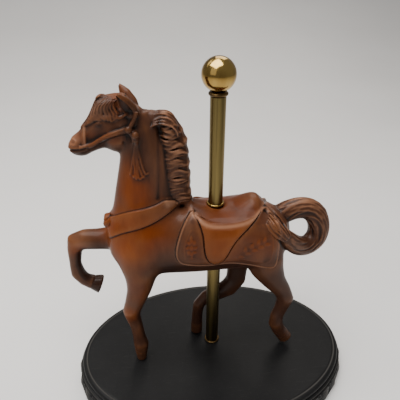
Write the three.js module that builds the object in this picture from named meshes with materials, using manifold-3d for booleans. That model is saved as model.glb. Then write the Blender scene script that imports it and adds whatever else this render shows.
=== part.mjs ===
// A carousel horse on a brass pole over an oval base with a carved edge. Millimetres, +Z up.
// The head is towards -X, and the underside of the base is at Z = 0.
import * as THREE from "three";
import { mergeVertices } from "three/addons/utils/BufferGeometryUtils.js";
import Module from "manifold-3d";

const wasm = await Module();
wasm.setup();

// Base: the length and width are taken over the carved edge.
const BASE_LENGTH = 281;
const BASE_WIDTH = 192;
const BASE_HEIGHT = 26;
const PLINTH_HEIGHT = 19; // the lower, carved moulding, with the smooth slab above it
const SLAB_INSET = 5.2;
const CARVING_DEPTH = 2.4;
const CARVED_LEAVES = 40;

// Pole, its rings and the ball on top
const POLE_DIAMETER = 12.7;
const POLE_HEIGHT = 263.5; // above the base
const POLE_SETBACK = 5; // behind the middle of the base
const SOCKET_DEPTH = 14;
const COLLAR_DIAMETER = 15.6;
const COLLAR_HEIGHT = 3;
const BALL_DIAMETER = 26.8;
const SPIGOT_DIAMETER = 6; // turned on the ball, it passes through the collar into the pole's end
const SPIGOT_LENGTH = 8;
const RING_DIAMETER = 15.4;
const RING_HEIGHT = 1.8;

// Horse: every other size of the figure is a share of its height to the ear tips.
const HORSE_HEIGHT = 272;
const SADDLERY_RAISE = 1.5; // how far the saddle cloth, flap and breast collar stand out

// Clearances
const BORE_CLEARANCE = 0.3; // round the pole, on the radius
const SEAT_GAP = 0.3; // between two pieces that rest on each other

const ROUND_SIDES = 20;

const resin = new THREE.MeshStandardMaterial({ color: 0x8a4a22, roughness: 0.35 });
const blackWood = new THREE.MeshStandardMaterial({ color: 0x202022, roughness: 0.45 });
const brass = new THREE.MeshStandardMaterial({ color: 0xb08d45, roughness: 0.22, metalness: 1 });

// Solids

function solidOf(geometry) {
  const bare = geometry.index ? geometry.toNonIndexed() : geometry.clone();
  bare.deleteAttribute("normal");
  bare.deleteAttribute("uv");
  const merged = mergeVertices(bare, 1e-4);
  return new wasm.Manifold(
    new wasm.Mesh({
      numProp: 3,
      vertProperties: merged.attributes.position.array,
      triVerts: new Uint32Array(merged.index.array),
    }),
  );
}

function joined(solids) {
  return solids.reduce((whole, solid) => whole.add(solid));
}

function meshOf(name, solid, material) {
  const { vertProperties, triVerts, numProp } = solid.getMesh();
  const positions = [];
  for (let i = 0; i < vertProperties.length; i += numProp) {
    positions.push(vertProperties[i], vertProperties[i + 1], vertProperties[i + 2]);
  }
  const geometry = new THREE.BufferGeometry();
  geometry.setAttribute("position", new THREE.Float32BufferAttribute(positions, 3));
  geometry.setIndex(Array.from(triVerts));
  const mesh = new THREE.Mesh(geometry.toNonIndexed(), material);
  mesh.geometry.computeVertexNormals();
  mesh.name = name;
  return mesh;
}

// A turned piece about the Z axis from a profile of [radius, height] points, from bottom to top.
function turned(profile, sides = ROUND_SIDES) {
  const points = profile.map(([radius, height]) => new THREE.Vector2(radius, height));
  return solidOf(new THREE.LatheGeometry(points, sides).rotateX(Math.PI / 2));
}

function uprightCylinder(radius, bottom, top) {
  const height = top - bottom;
  const cylinder = new THREE.CylinderGeometry(radius, radius, height, ROUND_SIDES);
  return solidOf(cylinder.rotateX(Math.PI / 2).translate(0, 0, bottom + height / 2));
}

// A closed skin over a list of rings that all have as many points.
function skinned(rings) {
  const sides = rings[0].length;
  const positions = [];
  const corner = (point) => positions.push(point.x, point.y, point.z);
  const facet = (a, b, c) => [a, b, c].forEach(corner);
  for (let k = 0; k + 1 < rings.length; k++) {
    for (let i = 0; i < sides; i++) {
      const j = (i + 1) % sides;
      facet(rings[k][i], rings[k + 1][i], rings[k][j]);
      facet(rings[k][j], rings[k + 1][i], rings[k + 1][j]);
    }
  }
  for (const [ring, flip] of [[rings[0], false], [rings[rings.length - 1], true]]) {
    const middle = ring.reduce((sum, p) => sum.add(p), new THREE.Vector3()).divideScalar(sides);
    for (let i = 0; i < sides; i++) {
      const j = (i + 1) % sides;
      if (flip) facet(middle, ring[j], ring[i]);
      else facet(middle, ring[i], ring[j]);
    }
  }
  const geometry = new THREE.BufferGeometry();
  geometry.setAttribute("position", new THREE.Float32BufferAttribute(positions, 3));
  return solidOf(geometry);
}

// Base

// Rings of an oval whose two half axes are both cut in by the same inset, with evenly spaced points
// that run clockwise seen from above.
function ovalRing(inset, height, count, carve = () => 0) {
  const across = BASE_LENGTH / 2;
  const deep = BASE_WIDTH / 2;
  const spaced = new THREE.EllipseCurve(0, 0, across, deep).getSpacedPoints(count).slice(1).reverse();
  return spaced.map((point, i) => {
    const cut = inset + carve(i);
    return new THREE.Vector3((point.x * (across - cut)) / across, (point.y * (deep - cut)) / deep, height);
  });
}

// The carved band: each leaf is a lobe that swells outwards and has a notch on either side.
function makeBase() {
  const leafSteps = 4;
  const bandPoints = CARVED_LEAVES * leafSteps;
  const lobe = (depth) => (i) => [0, 0.25, 1, 0.25][i % leafSteps] * depth;
  const band = skinned([
    ovalRing(1.2, 0, bandPoints, lobe(CARVING_DEPTH * 0.5)),
    ovalRing(0, 0.4 * PLINTH_HEIGHT, bandPoints, lobe(CARVING_DEPTH)),
    ovalRing(1.6, 0.72 * PLINTH_HEIGHT, bandPoints, lobe(CARVING_DEPTH * 0.7)),
    ovalRing(3, PLINTH_HEIGHT, bandPoints),
  ]);
  const slabPoints = 48;
  const rim = BASE_HEIGHT - PLINTH_HEIGHT;
  const slab = skinned([
    ovalRing(SLAB_INSET + 6, 0.6 * PLINTH_HEIGHT, slabPoints),
    ovalRing(SLAB_INSET + 1.2, PLINTH_HEIGHT + 0.1 * rim, slabPoints),
    ovalRing(SLAB_INSET, PLINTH_HEIGHT + 0.45 * rim, slabPoints),
    ovalRing(SLAB_INSET + 0.6, PLINTH_HEIGHT + 0.75 * rim, slabPoints),
    ovalRing(SLAB_INSET + 2.4, PLINTH_HEIGHT + 0.95 * rim, slabPoints),
    ovalRing(SLAB_INSET + 4.6, BASE_HEIGHT, slabPoints),
  ]);
  const socketFloor = BASE_HEIGHT - SOCKET_DEPTH;
  const socket = uprightCylinder(POLE_DIAMETER / 2 + BORE_CLEARANCE, socketFloor, 2 * BASE_HEIGHT)
    .translate(0, POLE_SETBACK, 0);
  return meshOf("base", band.add(slab).subtract(socket), blackWood);
}

// Pole and its fittings, about the pole's own axis with the top of the base at height 0

function makePole() {
  const radius = POLE_DIAMETER / 2;
  const boreRadius = SPIGOT_DIAMETER / 2 + BORE_CLEARANCE;
  const foot = SEAT_GAP - SOCKET_DEPTH;
  const boreFloor = POLE_HEIGHT - SPIGOT_LENGTH - SEAT_GAP;
  const profile = [
    [0, foot],
    [radius, foot],
    [radius, POLE_HEIGHT],
    [boreRadius, POLE_HEIGHT],
    [boreRadius, boreFloor],
    [0, boreFloor],
  ];
  return meshOf("pole", turned(profile), brass);
}

// A half-round bead that closes on itself round the Z axis.
function beadProfile(innerRadius, outerRadius, bottom, height, steps = 2) {
  const waist = outerRadius - height / 2;
  const profile = [[innerRadius, bottom]];
  for (let i = 0; i <= steps; i++) {
    const angle = -Math.PI / 2 + (Math.PI * i) / steps;
    profile.push([waist + (height / 2) * Math.cos(angle), bottom + (height / 2) * (1 + Math.sin(angle))]);
  }
  profile.push([innerRadius, bottom + height], [innerRadius, bottom]);
  return profile;
}

function makeRing(name, bottom) {
  const inner = POLE_DIAMETER / 2 + BORE_CLEARANCE;
  return meshOf(name, turned(beadProfile(inner, RING_DIAMETER / 2, bottom, RING_HEIGHT)), brass);
}

function makeCollar() {
  const inner = SPIGOT_DIAMETER / 2 + BORE_CLEARANCE;
  const bottom = POLE_HEIGHT + SEAT_GAP;
  return meshOf("pole_collar", turned(beadProfile(inner, COLLAR_DIAMETER / 2, bottom, COLLAR_HEIGHT)), brass);
}

function makeBall() {
  const radius = BALL_DIAMETER / 2;
  const flatRadius = 0.38 * radius; // the flat that the ball sits on
  const seat = POLE_HEIGHT + COLLAR_HEIGHT + 2 * SEAT_GAP;
  const start = Math.asin(flatRadius / radius);
  const centre = seat + radius * Math.cos(start);
  const spigotRadius = SPIGOT_DIAMETER / 2;
  const spigotFoot = POLE_HEIGHT - SPIGOT_LENGTH;
  const profile = [[0, spigotFoot], [spigotRadius, spigotFoot], [spigotRadius, seat]];
  const steps = 10;
  for (let i = 0; i < steps; i++) {
    const angle = start + ((Math.PI - start) * i) / steps;
    profile.push([radius * Math.sin(angle), centre - radius * Math.cos(angle)]);
  }
  profile.push([0, centre + radius]);
  return meshOf("finial_ball", turned(profile), brass);
}

// Horse

// The figure is laid out in parts of its own height, and its axes meet at the foot of the pole.
const PARTS_HIGH = 272;
const PART = HORSE_HEIGHT / PARTS_HIGH;

const signedPower = (value, power) => Math.sign(value) * Math.abs(value) ** power;

// A limb is a skin of oval rings along a smooth path. A station is [x, y, z, half depth, half width]:
// the depth is measured in the side view, square to the path, and the width across the horse. The
// section is a superellipse, and carve changes its size by the angle and by how far along it lies.
function limb(stations, { sides = 12, steps = 3, power = 2, grow = 0, dome = 0.6, carve = () => 1 } = {}) {
  const path = new THREE.CatmullRomCurve3(
    stations.map(([x, y, z]) => new THREE.Vector3(x, y, z)), false, "catmullrom", 0.5,
  );
  const girth = new THREE.CatmullRomCurve3(
    stations.map(([, , , depth, width]) => new THREE.Vector3(depth, width, 0)), false, "catmullrom", 0.5,
  );
  const across = new THREE.Vector3(0, 1, 0);
  const count = (stations.length - 1) * steps;
  const ringAt = (along, shrink, ahead) => {
    const tangent = path.getTangent(along);
    const up = new THREE.Vector3().crossVectors(tangent, across).normalize();
    const side = new THREE.Vector3().crossVectors(up, tangent);
    const { x: depth, y: width } = girth.getPoint(along);
    const middle = path.getPoint(along).addScaledVector(tangent, ahead * (Math.min(depth, width) + grow));
    const ring = [];
    for (let i = 0; i < sides; i++) {
      const angle = (2 * Math.PI * i) / sides;
      const size = shrink * carve(angle, along);
      const rise = signedPower(Math.cos(angle), 2 / power) * (depth + grow) * size;
      const spread = signedPower(Math.sin(angle), 2 / power) * (width + grow) * size;
      ring.push(middle.clone().addScaledVector(up, rise).addScaledVector(side, spread).multiplyScalar(PART));
    }
    return ring;
  };
  const rings = [];
  const domeAngles = dome ? [1.1, 0.6] : [];
  for (const angle of domeAngles) rings.push(ringAt(0, Math.cos(angle), -dome * Math.sin(angle)));
  for (let k = 0; k <= count; k++) rings.push(ringAt(k / count, 1, 0));
  for (const angle of [...domeAngles].reverse()) {
    rings.push(ringAt(1, Math.cos(angle), dome * Math.sin(angle)));
  }
  return skinned(rings);
}

// A slab right across the horse, cut to a closed outline of [x, z] points in the side view.
function cutter(outline, halfWidth = 60) {
  const sides = 20;
  const curve = new THREE.CatmullRomCurve3(
    outline.map(([x, z]) => new THREE.Vector3(x, z, 0)), true, "catmullrom", 0.4,
  );
  const points = curve.getSpacedPoints(sides).slice(0, -1);
  const shape = new THREE.Shape(points.map(({ x, y }) => new THREE.Vector2(x * PART, y * PART)));
  const slab = new THREE.ExtrudeGeometry(shape, { depth: 2 * halfWidth * PART, bevelEnabled: false });
  return solidOf(slab.rotateX(Math.PI / 2).translate(0, halfWidth * PART, 0));
}

const TORSO = [
  [-95, 0, 133, 9, 7],
  [-90, 0, 133, 21, 15],
  [-81, 0, 135, 29, 20],
  [-66, 0, 136.5, 33.5, 23],
  [-42, 0, 136.5, 33.5, 24.5],
  [-16, 0, 134.5, 32.2, 25],
  [10, 0, 134, 31, 25],
  [32, 0, 134.8, 30.3, 25.5],
  [50, 0, 135, 27.4, 24.5],
  [62, 0, 135, 21.5, 18.5],
  [68, 0, 135, 13, 10],
];

const NECK = [
  [-61, 0, 132, 32, 19],
  [-61, 0, 155, 30, 19.5],
  [-60.5, 0, 172, 28, 17.8],
  [-59.5, 0, 190, 25, 16],
  [-58.5, 0, 208, 22, 14.4],
  [-58, 0, 226, 19, 12.8],
  [-60, 0, 242, 14.5, 11],
  [-63, 0, 252, 9, 8],
];

function makeTrunk(grow) {
  return limb(TORSO, { sides: 20, steps: 1, power: 2.6, grow, dome: 0 }).add(
    limb(NECK, { sides: 14, steps: 1, power: 2.1, grow, dome: 0 }),
  );
}

// Saddle cloth, flap and breast collar: raised skins of the trunk, cut to their outlines.
function makeSaddlery() {
  const cloth = [
    [-20, 176], [-31, 161], [-36.5, 144], [-37, 132], [-31, 123.5], [-12, 120.5], [14, 122.5],
    [33, 116.5], [48, 112.5], [54, 118], [52, 139], [54, 157], [40, 176],
  ];
  const flap = [
    [-22, 176], [-15.5, 160], [-13, 140], [-10, 128], [-3, 122.5], [5, 129.5], [13, 143],
    [26.5, 156], [40, 170], [36, 178],
  ];
  const collar = [
    [-100, 163], [-86, 170], [-74, 175], [-60, 178], [-44, 184], [-32, 178], [-40, 171],
    [-52, 166], [-70, 159.5], [-85, 154], [-94, 146], [-102, 142],
  ];
  return joined([
    makeTrunk(SADDLERY_RAISE / PART).intersect(cutter(cloth)),
    makeTrunk((1.9 * SADDLERY_RAISE) / PART).intersect(cutter(flap)),
    makeTrunk(SADDLERY_RAISE / PART).intersect(cutter(collar)),
  ]);
}

// The seat is a broad saddle: a flat-topped skin that rises to the pommel and the cantle.
function makeSeat() {
  const stations = [
    [-25, 0, 169.5, 4.4, 5],
    [-19, 0, 168.4, 6.4, 11],
    [-9, 0, 163.6, 6.4, 18.6],
    [4, 0, 162, 6, 20.8],
    [16, 0, 162.8, 6.8, 20.8],
    [27, 0, 166, 8, 19],
    [35, 0, 167.6, 8, 14],
    [41, 0, 165.4, 5, 7],
  ];
  return limb(stations, { sides: 18, steps: 1, power: 3 });
}

// Each leg starts high in the shoulder or the haunch, so that the muscle shows under the trunk's skin.
function makeLegs() {
  const nearFore = [
    [-58, -7, 162, 12, 9], [-62, -11, 150, 19, 12], [-67, -13, 132, 21.5, 13],
    [-69.5, -13.5, 115, 18, 12], [-69.5, -14, 103, 14.5, 10.5], [-72, -14.5, 89, 11.4, 8.8],
    [-77, -15, 75, 9.4, 7.6], [-80.4, -15, 65, 8.8, 7.4], [-79.6, -15, 57, 7.4, 6.2],
    [-77, -15.5, 45, 6.2, 5.2], [-75.6, -15.5, 31, 6.4, 5.4], [-74.2, -15.5, 20, 7.6, 6.4],
    [-74.6, -15.5, 12, 6.6, 6], [-75, -15.5, 0, 5, 5.4], [-75, -15.5, -4, 5, 5.4],
  ];
  const farFore = [
    [-58, 7, 162, 12, 9], [-63, 11, 148, 19, 12], [-74, 12, 134, 18, 12.5], [-90, 13, 131, 12.5, 10.5],
    [-106, 14, 130, 10.4, 9.5], [-119, 14, 130.6, 10.4, 8.6], [-126.6, 14, 128.4, 10.4, 7.8],
    [-129.6, 14, 119, 7, 6.2], [-131, 14, 104, 5.8, 5.2], [-130, 14, 92, 7.2, 6.2],
    [-125, 14, 84, 6.8, 6], [-117.5, 14, 79.4, 7.6, 6.8], [-109.6, 14, 76.2, 10.4, 8],
  ];
  const nearHind = [
    [46, -8, 156, 12, 10], [42, -12, 140, 20, 13], [43, -13, 120, 20, 13], [49, -14, 103, 16.5, 11.5],
    [57, -15, 88, 11.5, 9], [66, -15, 75, 9, 7.5], [70.5, -15, 64, 8.8, 7], [67.4, -15, 52, 7.2, 5.8],
    [64, -15, 41, 7, 5.6], [63.8, -15, 31, 7.6, 6.2], [68, -14.5, 21, 7, 6], [73.4, -14, 12.5, 7.2, 6.2],
    [77, -14, 7, 8, 6.8],
  ];
  const farHind = [
    [46, 8, 156, 12, 10], [40, 12, 138, 20, 13], [37, 13, 120, 19, 12.5], [33, 13.5, 103, 15, 10.5],
    [27, 14, 86, 11, 8.2], [26, 13.8, 69, 11, 7.6], [18, 13.5, 58, 11, 6.8], [6, 13.4, 52, 9, 5.8],
    [-5, 13.2, 48.5, 7.4, 5.4], [-12.5, 13, 39, 6.6, 5.4], [-14, 13, 28, 5.8, 5.2], [-14.6, 12.8, 16, 6, 5.6],
    [-15, 12.6, 4, 7, 6.3], [-15, 12.6, -4, 7, 6.3],
  ];
  const options = { sides: 10, steps: 1, dome: 0 };
  return [nearFore, farFore, nearHind, farHind].map((stations) => limb(stations, options));
}

function makeHead() {
  const skull = limb(
    [
      [-62, 0, 247, 11, 9], [-73, 0, 248.5, 15.5, 11], [-84, 0, 243.5, 16, 11.4], [-94, 0, 236.5, 12.4, 9.8],
      [-103, 0, 231, 9.6, 8.2], [-109.5, 0, 227.6, 8.6, 8], [-113.2, 0, 226, 6, 6.2],
    ],
    { sides: 12, steps: 1, power: 2.3, dome: 0.5 },
  );
  const jowl = new THREE.SphereGeometry(14 * PART, 10, 7)
    .rotateX(Math.PI / 2)
    .scale(1, 0.78, 1)
    .translate(-79 * PART, 0, 235.5 * PART);
  const chin = new THREE.SphereGeometry(6.4 * PART, 8, 6)
    .scale(1.25, 0.8, 0.75)
    .translate(-106.5 * PART, 0, 223.6 * PART);
  const forelock = limb(
    [
      [-70, 0, 263, 4, 6], [-79, 0, 262, 4.4, 9.6], [-87.5, 0, 260, 5, 10], [-95, 0, 250, 2.6, 8],
      [-101.5, 0, 242, 1.4, 5],
    ],
    { sides: 12, steps: 1, carve: (angle) => 1 + 0.1 * Math.cos(6 * angle) },
  );
  const ears = [-1, 1].map((side) =>
    limb(
      [
        [-64, side * 7.6, 252, 4.6, 3.6], [-66.5, side * 9.4, 258, 5.6, 3.8],
        [-70.5, side * 12.6, 265, 4.4, 3], [-75, side * 15.6, 271.2, 1, 1],
      ],
      { sides: 8, steps: 1, dome: 0 },
    ),
  );
  return [skull, solidOf(jowl), solidOf(chin), forelock, ...ears];
}

// The bridle's cheek strap and the tassel that hangs from its knot, on both sides.
function makeBridle(side) {
  const cheekStrap = limb(
    [[-64, side * 8.4, 256, 1.6, 1.4], [-65.5, side * 11, 248, 1.8, 1.6], [-69.5, side * 12.4, 241, 2, 1.8]],
    { sides: 6, steps: 1, dome: 0 },
  );
  const jawStrap = limb(
    [
      [-69.5, side * 12, 242, 1.8, 1.8], [-80, side * 11.6, 240.5, 1.7, 1.6],
      [-92, side * 10, 234.5, 1.6, 1.6], [-101, side * 8.2, 230, 1.5, 1.5],
      [-107, side * 7.4, 227.5, 1.6, 1.6],
    ],
    { sides: 6, steps: 1, dome: 0 },
  );
  const tassel = limb(
    [
      [-66.5, side * 12.6, 242, 3, 2.4], [-64.4, side * 13, 237, 3.2, 2.6], [-65, side * 12.8, 230, 2.4, 2.2],
      [-65, side * 13.4, 217, 3.2, 2.4], [-65, side * 15, 204.5, 5.4, 2.2],
    ],
    { sides: 10, steps: 1, dome: 0, carve: (angle, along) => 1 + 0.16 * along * Math.cos(5 * angle) },
  );
  return [cheekStrap, jawStrap, tassel];
}

// The mane stands behind the crest in wavy locks, and each ring of its skin is a ridge or a groove.
function makeMane() {
  const stations = [
    [-55, 0, 247, 8, 6.5], [-45, 0, 246.5, 7.5, 8], [-37.5, 0, 240, 9, 8.5], [-34, 0, 228, 10.5, 8.5],
    [-32, 0, 214, 10, 8.5], [-31, 0, 200, 10, 8.5], [-30.5, 0, 187, 9.6, 8], [-28, 0, 174, 8.6, 7],
  ];
  const steps = 3;
  const ringCount = (stations.length - 1) * steps;
  const clumps = 6;
  const lockShape = (angle, along) => {
    const ridge = Math.round(along * ringCount) % 2 ? 1.03 : 0.91;
    return ridge * (0.93 + 0.07 * Math.abs(Math.sin(Math.PI * clumps * along)));
  };
  return limb(stations, { sides: 9, steps, dome: 0.4, carve: lockShape });
}

// The tail rises from the dock, turns over in a full loop and its end lies on the near haunch.
function makeTail() {
  const stations = [
    [50, 0, 149, 8, 9], [62, 0, 154, 9.4, 9], [72, -1, 159, 9.8, 8.6], [84, -2, 159.6, 10, 8.2],
    [93.6, -3, 152, 10, 8.2], [98, -4, 138.5, 9.8, 8.2], [94.6, -6, 127, 10, 8.2], [84, -9, 122.5, 9.8, 8.2],
    [73, -13.5, 128, 8.8, 7.8], [63, -18.5, 138.5, 7.6, 7], [54.5, -21.5, 149.5, 5.4, 5],
    [47, -21.5, 159, 2.2, 2.4],
  ];
  return limb(stations, { sides: 12, steps: 2, dome: 0, carve: (angle) => 1 + 0.08 * Math.cos(6 * angle) });
}

// A round medallion at the front of the breast collar, facing forwards.
function makeMedallion() {
  const profile = [[0, 0], [6, 0], [6, 4], [4.6, 5.6], [3.4, 5], [0, 6.6]];
  const points = profile.map(([radius, height]) => new THREE.Vector2(radius * PART, height * PART));
  const disc = new THREE.LatheGeometry(points, 16).rotateX(Math.PI / 2).rotateY(-Math.PI / 2);
  return solidOf(disc.translate(-91.5 * PART, 0, 159 * PART));
}

const SEAT_TOP = 168.6 * PART; // the flat in the saddle that the pole's upper ring rests on

function makeHorse() {
  const figure = joined([
    makeTrunk(0), makeSaddlery(), makeSeat(), ...makeLegs(), ...makeHead(),
    ...makeBridle(-1), ...makeBridle(1), makeMane(), makeTail(), makeMedallion(),
  ]);
  const bore = uprightCylinder(POLE_DIAMETER / 2 + BORE_CLEARANCE, 0, HORSE_HEIGHT);
  const ringSeat = uprightCylinder(RING_DIAMETER / 2 + SEAT_GAP, SEAT_TOP, HORSE_HEIGHT);
  const floor = new THREE.BoxGeometry(HORSE_HEIGHT, HORSE_HEIGHT, HORSE_HEIGHT);
  const underSoles = solidOf(floor.translate(0, 0, SEAT_GAP - HORSE_HEIGHT / 2));
  return meshOf("horse", figure.subtract(bore).subtract(ringSeat).subtract(underSoles), resin);
}

const onBase = new THREE.Group();
onBase.position.set(0, POLE_SETBACK, BASE_HEIGHT);
onBase.add(
  makeHorse(), makePole(), makeRing("saddle_ring", SEAT_TOP + SEAT_GAP), makeRing("base_ring", SEAT_GAP),
  makeCollar(), makeBall(),
);

const carouselHorse = new THREE.Group();
carouselHorse.add(makeBase(), onBase);

export default carouselHorse;
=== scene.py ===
"""A tabletop carousel horse on a brass pole over an oval black base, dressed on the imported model."""

import bmesh
import bpy
import numpy as np
from math import asin, cos, pi, radians, sin
from mathutils import Matrix, Vector
from mathutils.bvhtree import BVHTree


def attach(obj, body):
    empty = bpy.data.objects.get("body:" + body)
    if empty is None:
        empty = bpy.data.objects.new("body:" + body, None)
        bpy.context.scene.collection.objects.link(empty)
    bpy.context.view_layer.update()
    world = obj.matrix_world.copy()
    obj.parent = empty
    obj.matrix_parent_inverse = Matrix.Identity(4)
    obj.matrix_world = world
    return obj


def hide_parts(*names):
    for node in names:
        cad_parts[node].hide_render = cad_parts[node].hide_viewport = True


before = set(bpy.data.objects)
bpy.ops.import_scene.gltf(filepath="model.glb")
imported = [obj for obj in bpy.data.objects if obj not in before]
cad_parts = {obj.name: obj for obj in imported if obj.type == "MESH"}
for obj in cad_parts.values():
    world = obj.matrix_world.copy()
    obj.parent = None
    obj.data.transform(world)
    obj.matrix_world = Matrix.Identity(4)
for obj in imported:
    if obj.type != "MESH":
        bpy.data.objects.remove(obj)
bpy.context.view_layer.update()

# Base: an oval plinth of painted wood, satin black. Its smooth slab ends in a half-round edge over a
# cove, and the moulding below is carved all round with leaves and the beads between them. It is one
# skin: a disc whose rim is extruded up the moulding's steps, with the leaves carved into it.
MM = 0.001
BASE_LENGTH = 281
BASE_WIDTH = 192
BASE_HEIGHT = 26
LEAVES = 40
STEPS_PER_LEAF = 24
LEAF_DEPTH = 2.4


def link_piece(name, mesh, material):
    """A new object at the origin that carries the mesh and the material and rides on the body."""
    piece = bpy.data.objects.new(name, mesh)
    bpy.context.collection.objects.link(piece)
    mesh.materials.clear()
    mesh.materials.append(material)
    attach(piece, "root")
    return piece


def plain_mesh(bm, name):
    """Turns the bmesh into a mesh as it is."""
    mesh = bpy.data.meshes.new(name)
    bm.to_mesh(mesh)
    bm.free()
    return mesh


def mesh_from(bm, name, sharp_angle=40):
    """Turns the bmesh into a smooth-shaded mesh with its faces outwards and its true corners sharp."""
    bmesh.ops.recalc_face_normals(bm, faces=bm.faces)
    mesh = plain_mesh(bm, name)
    mesh.shade_smooth()
    mesh.set_sharp_from_angle(angle=radians(sharp_angle))
    return mesh


def read_places(mesh):
    """The mesh's vertices as rows of x, y, z in metres."""
    rows = np.empty(len(mesh.vertices) * 3, np.float32)
    mesh.vertices.foreach_get("co", rows)
    return rows.reshape(-1, 3).astype(float)


def move_to(mesh, rows):
    """Puts the mesh's vertices at these rows."""
    mesh.vertices.foreach_set("co", np.asarray(rows, np.float32).ravel())
    mesh.update()


def moulding_steps():
    """The inset from the carved oval and the height of every step of the base, in millimetres."""
    band = [(2.4, 0.0), (1.2, 0.5)]
    for i in range(16):
        share = i / 15
        band.append((1.9 * (1 - sin(pi * (0.22 + 0.6 * share))) + 0.9 * share, 1.2 + 14.2 * share))
    cove = [(3.4, 15.9), (4.3, 16.4), (4.7, 16.9), (4.3, 17.4), (3.5, 17.8), (3.1, 18.4), (3.3, 19.0)]
    slab = [(4.3, 19.3), (6.0, 19.5), (6.6, 20.0), (6.2, 20.6), (5.5, 21.3), (5.2, 22.2), (5.2, 23.1)]
    edge = [(5.5, 24.0), (6.1, 24.9), (7.1, 25.5), (8.4, 25.9), (9.4, 25.95), (9.8, 25.7), (10.4, 25.7)]
    top = [(10.8, 25.95), (11.6, BASE_HEIGHT), (14.0, BASE_HEIGHT), (50.0, BASE_HEIGHT)]
    return band + cove + slab + edge + top


def leaf_relief(around, height):
    """How deep the carving goes at a place counted in leaves round the rim, and at a height."""
    across = np.abs((around + 0.5) % 1.0 - 0.5)
    up = np.clip((height - 0.8) / 15.4, 0, 1)
    half_width = 0.2 + 0.25 * np.sin(pi * np.clip(0.1 + 0.85 * up, 0, 1))
    inside = np.clip(1 - (across / half_width) ** 2, 0, 1)
    veins = 0.5 + 0.5 * np.cos(2 * pi * (4.2 * up + 5.0 * across))
    leaf = inside**0.5 - 0.2 * veins * (inside > 0) * np.clip(across / 0.08, 0, 1)
    leaf += 0.14 * np.exp(-((across / 0.04) ** 2))
    bead = 0.8 * np.exp(-(((0.5 - across) / 0.1) ** 2 + ((up - 0.74) / 0.2) ** 2))
    fade = np.clip(up * 5, 0, 1) * np.clip((1 - up) * 7, 0, 1)
    return (1 - np.clip(np.maximum(leaf, bead), 0, 1.2)) * fade


def oval_angles(count):
    """The angles of evenly spaced points round the base's oval."""
    fine = np.linspace(0, 2 * pi, 20001)
    x, y = BASE_LENGTH / 2 * np.cos(fine), BASE_WIDTH / 2 * np.sin(fine)
    run = np.concatenate([[0], np.cumsum(np.hypot(np.diff(x), np.diff(y)))])
    return np.interp(np.arange(count) / count * run[-1], run, fine)


def grown_rim(bm, rim):
    """Extrudes the rim's edges, and gives the new points and the new rim."""
    grown = bmesh.ops.extrude_edge_only(bm, edges=rim)["geom"]
    points = [part for part in grown if isinstance(part, bmesh.types.BMVert)]
    edges = [part for part in grown if isinstance(part, bmesh.types.BMEdge)]
    new_points = set(points)
    return points, [edge for edge in edges if new_points.issuperset(edge.verts)]


steps_round = LEAVES * STEPS_PER_LEAF
steps_up = np.array(moulding_steps())
base_maker = bmesh.new()
place_round = base_maker.verts.layers.int.new("place round")
step_number = base_maker.verts.layers.int.new("step")
bmesh.ops.create_circle(base_maker, cap_ends=True, radius=1.0, segments=steps_round)
for i, vert in enumerate(base_maker.verts):
    vert[place_round] = i
rim = list(base_maker.edges)
for step in range(1, len(steps_up)):
    points, rim = grown_rim(base_maker, rim)
    for vert in points:
        vert[step_number] = step
bmesh.ops.edgeloop_fill(base_maker, edges=rim)
rounds = np.array([vert[place_round] for vert in base_maker.verts])
levels = np.array([vert[step_number] for vert in base_maker.verts])
angles = oval_angles(steps_round)[rounds]
inset, height = steps_up[levels].T
hollow = leaf_relief(rounds / STEPS_PER_LEAF, height)
inset = inset + LEAF_DEPTH * hollow
base_places = np.column_stack([
    (BASE_LENGTH / 2 - inset) * np.cos(angles),
    (BASE_WIDTH / 2 - inset) * np.sin(angles),
    height,
])
for vert, place in zip(base_maker.verts, base_places * MM):
    vert.co = place


def noise_on(vector, scale, detail, roughness):
    """The strength of a noise texture on this vector."""
    noise = vector.id_data.nodes.new("ShaderNodeTexNoise")
    noise.inputs["Scale"].default_value = scale
    noise.inputs["Detail"].default_value = detail
    noise.inputs["Roughness"].default_value = roughness
    vector.id_data.links.new(vector, noise.inputs["Vector"])
    return noise.outputs["Fac"]


def ramp_on(factor, stops):
    """The colour of a ramp with these (position, colour) stops, where a single number is a grey."""
    ramp = factor.id_data.nodes.new("ShaderNodeValToRGB")
    while len(ramp.color_ramp.elements) < len(stops):
        ramp.color_ramp.elements.new(0.5)
    for element, (position, colour) in zip(ramp.color_ramp.elements, stops):
        element.position = position
        element.color = (colour, colour, colour, 1) if isinstance(colour, float) else (*colour, 1)
    factor.id_data.links.new(factor, ramp.inputs["Fac"])
    return ramp.outputs["Color"]


def mix_colours(mask, under, over):
    """The colour under the mask with another over it, which is a socket or a plain colour."""
    tree = mask.id_data
    mix = tree.nodes.new("ShaderNodeMix")
    mix.data_type = "RGBA"
    tree.links.new(mask, mix.inputs[0])
    tree.links.new(under, mix.inputs[6])
    if isinstance(over, tuple):
        mix.inputs[7].default_value = (*over, 1)
    else:
        tree.links.new(over, mix.inputs[7])
    return mix.outputs[2]


def mapped(tree, scale=(1, 1, 1)):
    """Object coordinates through a Mapping node that stretches them."""
    where = tree.nodes.new("ShaderNodeTexCoord")
    mapping = tree.nodes.new("ShaderNodeMapping")
    mapping.inputs["Scale"].default_value = scale
    tree.links.new(where.outputs["Object"], mapping.inputs["Vector"])
    return mapping.outputs["Vector"]


def weakened(mask, share):
    """The mask at this share of its strength."""
    product = mask.id_data.nodes.new("ShaderNodeMath")
    product.operation = "MULTIPLY"
    product.inputs[1].default_value = share
    mask.id_data.links.new(mask, product.inputs[0])
    return product.outputs[0]


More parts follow.
